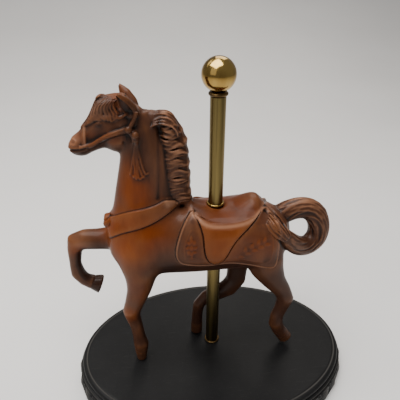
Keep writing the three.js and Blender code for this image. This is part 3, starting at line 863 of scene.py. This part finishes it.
# Saddlery and face: cut into the fused skin. Each outline is a line of [x, z] points on the flank, and the
# skin is raised inside it, with a groove beside it and a corded border on the cloth.
CLOTH = [
    (-22, 170), (-31, 161), (-36.5, 146), (-37.8, 134), (-35, 126), (-28, 122.6), (-12, 120.5), (3, 122),
    (14, 121.5), (23, 119), (33, 116), (46, 112.6), (51.5, 113), (54, 119), (53, 139), (54, 156),
    (43, 168), (10, 178),
]
FLAP = [
    (-22, 169), (-18, 164.7), (-15.6, 160), (-13.4, 151.6), (-12.8, 139.6), (-11, 130.5), (-7.5, 125),
    (-2.5, 123), (3.4, 126.2), (7.0, 133.3), (10.4, 141.3), (16.2, 149.5), (24.4, 156), (31.8, 162.4),
    (40, 169), (10, 182),
]
COLLAR = [
    (-99, 158), (-92, 163), (-84, 170), (-74, 175), (-62, 177.5), (-52, 180), (-44, 183.5), (-33, 178),
    (-33, 174), (-40, 172), (-50, 167), (-60, 162.5), (-73, 158.5), (-83, 155), (-91, 149), (-99, 141),
]
REAR_STRAP = [(41, 166), (47, 162), (54, 156.6)]


def rounded(points, closed=False, rounds=3):
    """A finer line with its corners rounded off."""
    rows = np.asarray(points, float)
    for _ in range(rounds):
        ahead = np.roll(rows, -1, axis=0) if closed else rows[1:]
        here = rows if closed else rows[:-1]
        cut = np.stack([0.75 * here + 0.25 * ahead, 0.25 * here + 0.75 * ahead], 1).reshape(-1, 2)
        rows = cut if closed else np.vstack([rows[:1], cut, rows[-1:]])
    return rows


def distance_to(line, x, z, closed=False):
    """How far each place is from the line in the side view."""
    ends = np.roll(line, -1, axis=0) if closed else line[1:]
    starts = line if closed else line[:-1]
    nearest = np.full(len(x), 1e9)
    for (ax, az), (bx, bz) in zip(starts, ends):
        dx, dz = bx - ax, bz - az
        t = np.clip(((x - ax) * dx + (z - az) * dz) / (dx * dx + dz * dz + 1e-12), 0, 1)
        nearest = np.minimum(nearest, np.hypot(x - ax - t * dx, z - az - t * dz))
    return nearest


def within(line, x, z):
    """Whether each place lies inside the closed line in the side view."""
    inside = np.zeros(len(x), bool)
    for (ax, az), (bx, bz) in zip(line, np.roll(line, -1, axis=0)):
        crosses = (az > z) != (bz > z)
        inside ^= crosses & (x < (bx - ax) * (z - az) / (bz - az + 1e-12) + ax)
    return inside


def ridge(distance, middle, width):
    """A round bead at this distance."""
    return np.exp(-(((distance - middle) / width) ** 2))


def step_up(distance, width):
    """Rises from 0 to 1 over this width."""
    t = np.clip(distance / width, 0, 1)
    return t * t * (3 - 2 * t)


def inside_by(line, x, z):
    """How far each place lies inside the closed line, which is less than 0 outside it."""
    return distance_to(line, x, z, closed=True) * np.where(within(line, x, z), 1, -1)


def tail_gap(x, y, z, start):
    """How far each place is from the tail's plain loop, as far as it lies behind this x."""
    gap = np.full(len(x), 1e9)
    for (mx, my, mz), depth in zip(tail_middle, tail_rows[:, 3]):
        if mx > start:
            gap = np.minimum(gap, np.sqrt((x - mx) ** 2 + (y - my) ** 2 + (z - mz) ** 2) - depth)
    return gap


places = read_places(horse_mesh)
normals = normals_of(horse_mesh)
x, y, z = from_foot(places).T
outwards = normals[:, 1] * np.sign(y)
lift = np.zeros(len(x))
off_tail = step_up(tail_gap(x, y, z, 52) - 1.0, 1.5)
upper_body = (z > 105) & (z < 186) & (x > -102) & (x < 62)
side_mask = step_up(outwards - 0.05, 0.3) * off_tail * upper_body

cloth_line, flap_line, collar_line = (rounded(line, closed=True) for line in (CLOTH, FLAP, COLLAR))
seat_line = rounded(SEAT_EDGE)
cloth_gap, flap_gap, collar_gap = (inside_by(line, x, z) for line in (cloth_line, flap_line, collar_line))
seat_gap = distance_to(seat_line, x, z)
below_seat = z < np.interp(x, seat_line[:, 0], seat_line[:, 1])

off_flap = 1 - step_up(flap_gap + 1.2, 1.0)
cloth_relief = 1.1 * step_up(cloth_gap + 0.2, 0.7) + 0.4 * ridge(cloth_gap, 0.8, 0.6)
cloth_relief -= 0.15 * ridge(cloth_gap, 2.1, 0.5)
cloth_relief -= 0.35 * ridge(cloth_gap, -0.6, 0.45)
lift += side_mask * off_flap * cloth_relief * (z < 169)
flap_relief = 2.0 * step_up(flap_gap + 0.2, 0.8) - 0.5 * ridge(flap_gap, -0.6, 0.45)
lift += side_mask * flap_relief * np.clip((168 - z) / 5, 0, 1)
collar_relief = 1.1 * step_up(collar_gap + 0.2, 0.7) - 0.4 * ridge(collar_gap, -0.6, 0.45)
lift += side_mask * collar_relief
lift += side_mask * np.exp(-seat_gap / np.where(below_seat, 3.0, 3.2))
strap_gap = distance_to(rounded(REAR_STRAP), x, z)
lift += side_mask * (0.6 * ridge(strap_gap, 0, 0.8) - 0.3 * ridge(strap_gap, 1.5, 0.5))

# Tooling: worn, shallow leaves in the cloth, a wreath in front of the flap and a spray behind it.
FRAME_LINES = [
    [(-29, 131), (-30.6, 140), (-28.6, 149), (-24, 157)],
    [(14, 127.4), (24, 125.4), (34, 122), (46.4, 119), (47.6, 132), (47, 148), (38, 157)],
]
WREATH_X, WREATH_Z = -24, 142
LEAF_SPOTS = [
    (WREATH_X + 3.4 * cos(radians(turn)), WREATH_Z + 6.8 * sin(radians(turn)), turn + 30, 2.7)
    for turn in range(0, 360, 45)
]
LEAF_SPOTS += [(WREATH_X, WREATH_Z, 90, 3.0), (WREATH_X, 151.6, 90, 2.4), (WREATH_X, 132, 90, 2.4)]
for k in range(9):
    stem_x, stem_z = 20 + 2.8 * k, 132 + 1.9 * k - 0.06 * k * k
    stem_side = 1 if k % 2 else -1
    LEAF_SPOTS.append((stem_x, stem_z + 3.2 * stem_side, 34 + 48 * stem_side, 3.3))


def tooling(x, z):
    """How far the worn relief in the cloth's panels stands up, from 0 to about 1."""
    relief = np.zeros(len(x))
    for line in FRAME_LINES:
        relief = np.maximum(relief, 0.5 * ridge(distance_to(rounded(line), x, z), 0, 0.6))
    for centre_x, centre_z, turn, reach in LEAF_SPOTS:
        along_x, along_z = cos(radians(turn)), sin(radians(turn))
        along = ((x - centre_x) * along_x + (z - centre_z) * along_z) / reach
        across = (-(x - centre_x) * along_z + (z - centre_z) * along_x) / reach
        leaf = np.clip(1 - along**2 - (across / (0.55 * (1.15 - 0.5 * along))) ** 2, 0, 1)
        relief = np.maximum(relief, leaf * (1 - 0.5 * ridge(across, 0, 0.1)))
    return relief * step_up(distance_to(cloth_line, x, z, closed=True) - 2.2, 1.0)


lift += side_mask * off_flap * 0.5 * tooling(x, z)

# Muscles and joints: soft swellings and hollows in the side view, on both flanks.
SWELLINGS = [
    (-70, 150, 17, 0.8), (-47, 132, 10, -0.4), (-58, 120, 7, -0.5), (46, 132, 15, 0.6), (58, 116, 8, 0.6),
    (33, 108, 6, -0.8), (-76, 234, 9, 0.7), (-95, 238, 6, -0.5), (-90, 229, 7, -0.6), (-81, 66, 5, 0.7),
    (-77, 52, 6, -0.5), (-75.5, 21, 4, 0.5), (71, 66, 6, 0.6), (65, 47, 7, -0.5), (64, 31, 5, 0.5),
    (-127, 124, 6, 0.6), (-130, 90, 5, 0.5), (-66, 108, 8, 0.4),
]
for centre_x, centre_z, reach, rise in SWELLINGS:
    lift += rise * spot(x, z, centre_x, centre_z, reach, reach) * step_up(outwards, 0.6) * off_tail

# Face: nostrils, partings of the forelock, the mouth line, and the groove between the neck and the mane.
NOSTRIL_X, NOSTRIL_Z = -112.2, 232.6
MOUTH = [(-119, 226.2), (-113, 226.3), (-107, 227.2), (-102.6, 228.6)]
MANE_GROOVE = [(-46, 248), (-47, 230), (-48, 205), (-50, 186)]
on_head = (x < -66) & (z > 212)
face = np.where(on_head, step_up(outwards - 0.1, 0.4), 0)
nostril = spot(x, z, NOSTRIL_X, NOSTRIL_Z, 1.7, 1.25)
rim_far = np.hypot((x - NOSTRIL_X) / 2.9, (z - NOSTRIL_Z) / 2.2)
lift += face * (-0.8 * nostril + 0.35 * ridge(rim_far, 1.0, 0.25))


def partings(x, z):
    """Fine partings of the forelock, from 0 to 1 in their middle."""
    depth = np.zeros(len(x))
    for tip_x, tip_z, _ in FORELOCK_TIPS:
        share = (tip_x + 103.5) / 28.5
        top_x, top_z = -87 + 11 * share, 267 - 2.4 * share
        middle = ((top_x + tip_x) / 2 - 3, (top_z + tip_z) / 2 + 2)
        line = rounded([(top_x, top_z), middle, (tip_x + 0.8, tip_z + 3)])
        depth = np.maximum(depth, ridge(distance_to(line, x, z), 0, 0.5))
    return depth


lift -= face * 0.6 * partings(x, z)
mouth_gap = distance_to(rounded(MOUTH), x, z)
mouth_relief = -1.1 * ridge(mouth_gap, 0, 0.65) + 0.35 * ridge(mouth_gap, 1.5, 0.7)
lift += np.where(on_head & (x < -101), mouth_relief, 0)
groove_relief = -0.7 * ridge(distance_to(rounded(MANE_GROOVE), x, z), 0, 1.8) * step_up(outwards, 0.3)
lift += np.where((z > 183) & (np.abs(y) < 17), groove_relief, 0)

lifted = places + normals * (lift * MM)[:, None]

# Ears: each hollow is pushed into the front of the ear inside a rim.
HOLLOW_DEPTH = 3.0
for side in SIDES:
    root, tip, lengthwise, opening = ear_frame(side)
    sideways = np.array(lengthwise.cross(opening))
    off = np.column_stack([x, y, z]) - np.array(root)
    up = np.clip(off @ np.array(lengthwise) / (tip - root).length, 0, 1)
    half = EAR_HALF_WIDTH * np.clip(ear_girth(up), 0.05, 1)
    half *= np.sqrt(np.clip(4 * up * (1 - up), 0.02, 1))
    inside = np.clip(1 - (off @ sideways / (0.74 * half)) ** 2, 0, 1)
    inside *= np.clip(1 - ((up - 0.5) / 0.44) ** 4, 0, 1)
    facing = step_up(normals @ np.array(opening), 0.5) * (z > 252) * (np.linalg.norm(off, axis=1) < 26)
    lifted -= (np.sqrt(inside) * facing * HOLLOW_DEPTH * MM)[:, None] * np.array(opening)
move_to(horse_mesh, lifted)

# Hooves: each is cut back under a ring at the coronet, and narrows or flares a little towards its sole.
HOOVES = [
    ((-75.2, -15.5, 12.5), (-75, -15.5, 0), -0.02),
    ((-15, 12.6, 13), (-15, 12.6, 0), 0.1),
    ((73.5, -14.2, 14.5), (84, -14, 2), 0.08),
    ((-118, 14, 79.3), (-107.5, 14, 73.6), -0.06),
]
HOOF_REACH = 13


def along_hoof(rows, top, sole):
    """How far down the hoof each row lies, its way out from the hoof's axis, and the hoof's length."""
    top, sole = np.array(top), np.array(sole)
    length = np.linalg.norm(sole - top)
    way = (sole - top) / length
    down = (rows - top) @ way
    return down, rows - top - down[:, None] * way, length


lifted_mm = from_foot(lifted)
for top, sole, narrowing in HOOVES:
    down, radial, length = along_hoof(lifted_mm, top, sole)
    near = (np.linalg.norm(radial, axis=1) < HOOF_REACH) & (down > -4) & (down < length + 8)
    coronet = 0.05 * ridge(down, 0.0, 0.7) - 0.02 * ridge(down, -1.8, 1.1)
    lifted_mm -= np.where(near, coronet, 0)[:, None] * radial
    narrowed = np.where(near, narrowing * np.clip(down / length, 0, 1), 0)
    lifted_mm -= narrowed[:, None] * radial
move_to(horse_mesh, to_row(lifted_mm))

triangles = 2 * len(horse_mesh.polygons)
horse_mesh = evaluated_mesh(horse_mesh, ("DECIMATE", {"ratio": min(1.0, MOST_TRIANGLES / triangles)}))
horse_mesh.shade_smooth()


# Stain, painted shade and painted highlights: the brown is deepest in the cuts, on the hair, hooves and lower
# legs, and rubbed to orange on the chest, flap and haunch, which is partly painted light. Shade is painted
# under the belly, jaw and flap, behind and on the far legs, and highlights on crests. The masks are worked
# out on the finished skin and kept on its vertices.
# The orange spots are partly rubbed stain and partly painted light on the lit chest, neck, flap, haunch and
# knees.
WARM_SPOTS = [
    (-74, 152, 30, 30, 1.0), (-68, 192, 13, 26, 0.95), (2, 150, 26, 30, 1.0), (24, 166, 20, 10, 0.8),
    (-24, 142, 8, 12, 0.95), (36, 138, 15, 15, 0.8), (-72, 100, 13, 22, 0.5), (-81, 66, 8, 10, 0.75),
    (-124, 124, 9, 9, 0.8), (-88, 236, 16, 6, 0.6), (-112, 231, 9, 7, 0.3), (-74, 262, 6, 8, 0.4),
    (-98, 165, 12, 14, 0.6),
]
# Painted highlights on the nose, the raised forearm and the forelock.
PAINTED_HIGHLIGHT_SPOTS = [(-112, 234, 7, 5, 0.4), (-122, 130, 7, 4, 0.4), (-92, 259, 9, 8, 0.3)]
EYE_X, EYE_Z = -90.7, 246.3
places = from_foot(read_places(horse_mesh))
normals = normals_of(horse_mesh)
web = web_of(horse_mesh)
relaxed = softened(places, np.full(len(places), 0.6), web, 14)
proud = evened(np.einsum("ij,ij->i", places - relaxed, normals), web, 2)
x, y, z = places.T
outwards = normals[:, 1] * np.sign(y)
tail_distance = tail_gap(x, y, z, 46)
mane_front = np.interp(z, [174, 190, 215, 240, 256], [-46, -47, -45, -44, -46])
on_mane = step_up(x - mane_front, 3) * (x < -15) * step_up(z - 175, 3)
hair = np.maximum(step_up(2.5 - tail_distance, 2.5), on_mane)

warm = np.zeros(len(x))
for centre_x, centre_z, reach_x, reach_z, strength in WARM_SPOTS:
    broad = np.minimum(1.0, 1.35 * spot(x, z, centre_x, centre_z, reach_x, reach_z))
    warm = np.maximum(warm, strength * broad)
warm *= 1 - 0.85 * hair
on_panel = within(cloth_line, x, z) & ~within(flap_line, x, z) & (z < 166)
warm = np.where(on_panel, warm * (0.5 + 0.5 * tooling(x, z)), warm)
# Painted shade: the orange is taken out behind the elbow and under the chest, and mostly taken off the far
# legs.
elbow_shade = spot(x, z, -38, 126, 13, 12) + spot(x, z, -50, 110, 12, 9)
warm *= 1 - 0.9 * np.clip(elbow_shade, 0, 1)
far_legs = (y > 2) & (z < 125) & (x > -95)
warm = np.where(far_legs, 0.2 * warm, warm)

# Painted shade under the belly and on every downward face, under the flap and under the jaw.
belly_shade = spot(x, z, -42, 119, 13, 9) + 0.8 * step_up(-normals[:, 2] - 0.2, 0.4)
# Entries named painted shade are shade laid into the colour; the others darken the hair, the eyes and parts
# of the legs and mane.
dark_places = {
    "painted shade on the belly and undersides": np.clip(belly_shade, 0, 1) * (z > 60),
    "painted shade under the flap": 0.9 * step_up(125.5 - z, 6) * (x > -46) * (x < 20) * (z > 95),
    "mane beside the ears": 0.4 * step_up(z - 214, 14) * step_up(x + 78, 8),
    "painted shade on the far legs": 0.75 * far_legs,
    "hair": 0.45 * hair,
    "painted shade under the jaw": 0.95 * np.minimum(1, 1.4 * spot(x, z, -107, 222, 12, 5)),
    "eyes": spot(x, z, EYE_X, EYE_Z, 2.6, 1.8),
    "hind legs": 0.55 * step_up(112 - z, 14) * (x > 30),
    "raised leg's shin": 0.4 * step_up(104 - z, 14) * (x < -103),
    # Painted shade on the sides of the legs that face back, and where the raised leg meets the chest on the
    # far side.
    "painted shade behind the raised leg": 0.9 * step_up(normals[:, 0] + 0.1, 0.5) * (x < -100) * (z < 121),
    "painted shade behind the forelegs": 0.8 * step_up(normals[:, 0] - 0.3, 0.5) * (x < -40) * (z < 112),
    "painted shade at the raised leg's root": 0.6 * spot(x, z, -102, 125, 11, 9) * (y > 2) * (x < -94),
    "near forefoot": 0.35 * step_up(44 - z, 14) * (x < -60),
    # Painted shade where the seat faces up.
    "painted shade on the saddle's top": 0.35 * step_up(normals[:, 2] - 0.35, 0.4) * (x > -24) * (x < 44) * (z > 158),
    # Painted shade in the ear hollows.
    "painted shade in the ear hollows": 0.9 * spot(x, z, -70.2, 260.6, 3.8, 6.4) * (np.abs(y) > 8.5) * step_up(outwards, 0.5),
}
dark = np.maximum.reduce(list(dark_places.values()))
for top, sole, _ in HOOVES:
    down, radial, length = along_hoof(places, top, sole)
    on_hoof = (np.linalg.norm(radial, axis=1) < HOOF_REACH) & (down > -1) & (down < length + 8)
    hoof_dark = 1.0 if top[2] > 50 else 0.5
    dark = np.maximum(dark, np.where(on_hoof, hoof_dark * step_up(down + 1, 1.5), 0))

# Pale seat edge and corded cloth border: partly wear, partly a painted highlight on their crests.
on_border = ridge(distance_to(cloth_line, x, z, closed=True), 0.6, 0.6)
on_border *= ~within(flap_line, x, z) & (z < 168)
wear_and_highlights = ridge(distance_to(seat_line, x, z), 0, 1.5) + 0.45 * on_border
wear_and_highlights *= step_up(outwards + 0.1, 0.4) * step_up(tail_distance, 1.5)
for centre_x, centre_z, reach_x, reach_z, strength in PAINTED_HIGHLIGHT_SPOTS:
    wear_and_highlights = np.maximum(wear_and_highlights, strength * spot(x, z, centre_x, centre_z, reach_x, reach_z))
# Raised hair strands are paler: partly a dry-brushed finish, partly painted highlight.
wear_and_highlights = np.maximum(wear_and_highlights, 0.6 * hair * np.clip((proud - 0.1) / 0.3, 0, 1))
nose_gap = distance_to(np.array([(-102.3, 244), (-103, 232)]), x, z)
wear_and_highlights = np.maximum(wear_and_highlights, 0.5 * ridge(nose_gap, 0, 0.9) * (z > 231))
rubbed = np.clip((proud - 0.05) / 0.35, 0, 1) * (1 - 0.85 * dark) * (0.55 + 0.45 * hair)
head_side = (x < -72) * (z > 240) * step_up(outwards - 0.1, 0.3)
cut = np.clip(np.maximum((-proud - 0.03) / 0.3, 0.6 * head_side * partings(x, z)), 0, 1)
above_edge = z > np.interp(x, seat_line[:, 0], seat_line[:, 1]) - 1.5
on_seat = (x > -19) & (x < 42) & above_edge & (z < 186)
keep_mask(horse_mesh, "cut", cut * np.where(on_seat, 0.25, 1))
keep_mask(horse_mesh, "rubbed", rubbed * (1 - spot(x, z, EYE_X, EYE_Z + 0.1, 3.4, 2.4)))
keep_mask(horse_mesh, "wear_and_highlights", wear_and_highlights)
# Where the orange is left out the colour is brown stain and painted shade.
keep_mask(horse_mesh, "brown stain and painted shade", 1 - warm)
keep_mask(horse_mesh, "dark", dark)


def stained_resin():
    """Satin resin in wood tones: orange where rubbed and painted lit, brown stain and painted shade
    elsewhere, near black in the cuts.
    """
    material, tree, shader = new_material("stained resin", 0.36, coat=0.12, coat_roughness=0.2, specular=0.1)
    place = mapped(tree)
    streaks = noise_on(mapped(tree, (1.0, 1.0, 0.35)), 55.0, 5.0, 0.6)
    clouds = noise_on(place, 26.0, 3.0, 0.5)
    orange = ramp_on(
        streaks, [(0.3, (0.115, 0.021, 0.0012)), (0.52, (0.155, 0.03, 0.0018)), (0.75, (0.2, 0.045, 0.004))],
    )
    brown = ramp_on(streaks, [(0.3, (0.058, 0.021, 0.0105)), (0.75, (0.112, 0.047, 0.025))])
    amount = tree.nodes.new("ShaderNodeMath")
    amount.operation = "ADD"
    amount.use_clamp = True
    tree.links.new(mask_from(tree, "brown stain and painted shade"), amount.inputs[0])
    tree.links.new(ranged(clouds, -0.15, 0.3, from_low=0.3, from_high=0.7), amount.inputs[1])
    colour = mix_colours(amount.outputs[0], orange, brown)
    # Near black-brown for the dark stain and the painted shade.
    colour = mix_colours(mask_from(tree, "dark"), colour, (0.022, 0.0095, 0.0065))
    colour = mix_colours(weakened(mask_from(tree, "rubbed"), 0.6), colour, (0.25, 0.092, 0.03))
    # Pale for the wear and the painted highlights.
    colour = mix_colours(weakened(mask_from(tree, "wear_and_highlights"), 0.65), colour, (0.42, 0.215, 0.13))
    colour = mix_colours(mask_from(tree, "cut"), colour, (0.012, 0.006, 0.0045))
    fine = noise_on(place, 420.0, 4.0, 0.6)
    connect(shader, colour, ranged(fine, 0.3, 0.5), bump_from(fine, 0.1, 0.0003))
    return material


horse_piece = link_piece("resin_horse", horse_mesh, stained_resin())
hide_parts("horse")

# Table and backdrop: one plain pale sweep that is level under the base and curves up behind it.
SWEEP_HALF_WIDTH = 2.4
SWEEP_FRONT = -1.6
SWEEP_LEVEL_RUN = 2.35
SWEEP_CURVE_STEP = 0.35
SWEEP_RISE = 1.6
sweep = bmesh.new()
corners = [sweep.verts.new((side * SWEEP_HALF_WIDTH, SWEEP_FRONT, 0)) for side in SIDES]
rim = [sweep.edges.new(corners)]
curve_turns = np.linspace(0.15, pi / 2, 9)
curve_steps = [(SWEEP_CURVE_STEP * cos(turn), SWEEP_CURVE_STEP * sin(turn)) for turn in curve_turns]
for step_y, step_z in [(SWEEP_LEVEL_RUN, 0), *curve_steps, (0, SWEEP_RISE)]:
    points, rim = grown_rim(sweep, rim)
    bmesh.ops.translate(sweep, vec=(0, step_y, step_z), verts=points)
sweep_mesh = mesh_from(sweep, "sweep", 80)
sweep_material, sweep_tree, sweep_shader = new_material("pale paper", 0.75, specular=0.2)
paper_cloud = noise_on(mapped(sweep_tree), 3.0, 3.0, 0.55)
paper = ramp_on(paper_cloud, [(0.3, (0.77, 0.755, 0.74)), (0.7, (0.81, 0.795, 0.78))])
sweep_tree.links.new(paper, sweep_shader.inputs["Base Color"])
sweep_mesh.materials.append(sweep_material)
sweep_object = bpy.data.objects.new("sweep", sweep_mesh)
bpy.context.collection.objects.link(sweep_object)


# Light: a broad soft window above and a little to the left, a weak fill from the left front, a warm light
# from behind, a weak one on the left of the backdrop, and the room.
def area_light(name, place, aim, size, power, colour=(1, 1, 1)):
    """A square soft light at a place, turned to its aim."""
    data = bpy.data.lights.new(name, "AREA")
    data.size = size
    data.energy = power
    data.color = colour
    light = bpy.data.objects.new(name, data)
    light.location = place
    light.rotation_euler = (Vector(aim) - Vector(place)).to_track_quat("-Z", "Y").to_euler()
    bpy.context.collection.objects.link(light)


area_light("window", (-0.25, -0.1, 1.25), (0, 0, 0.12), 1.0, 24.0, (1.0, 0.985, 0.96))
area_light("fill", (-0.9, -0.8, 0.8), (0, 0, 0.12), 0.9, 2.0, (0.97, 0.98, 1.0))
area_light("back", (0.3, 1.0, 1.3), (0, 0, 0.15), 0.8, 7.0, (1.0, 0.95, 0.88))
area_light("backdrop", (-0.6, 0.6, 1.0), (-0.5, 1.2, 0), 0.6, 2.0, (1.0, 0.98, 0.95))
room = bpy.data.worlds.new("room")
bpy.context.scene.world = room
room.use_nodes = True
room.node_tree.nodes["Background"].inputs["Color"].default_value = (0.88, 0.87, 0.86, 1)
room.node_tree.nodes["Background"].inputs["Strength"].default_value = 0.3

# Camera: in front of the near side, a little towards the head and about 29 degrees above.
CAMERA_PLACE = (-0.0526, -0.2965, 0.3704)
CAMERA_ROLL = radians(0.34)
ahead = Vector((0.1116, 0.8639, -0.4911))
level = Vector((0.9918, -0.1281, 0))
upright = Vector((0.0629, 0.4870, 0.8711))
camera_right = cos(CAMERA_ROLL) * level + sin(CAMERA_ROLL) * upright
camera_up = cos(CAMERA_ROLL) * upright - sin(CAMERA_ROLL) * level
camera_data = bpy.data.cameras.new("camera")
camera_data.sensor_width = 36
camera_data.lens = 36.09
camera_data.clip_start = 0.01
camera = bpy.data.objects.new("camera", camera_data)
camera_turn = Matrix((camera_right, camera_up, -ahead)).transposed().to_4x4()
camera.matrix_world = Matrix.Translation(CAMERA_PLACE) @ camera_turn
bpy.context.collection.objects.link(camera)
bpy.context.scene.camera = camera
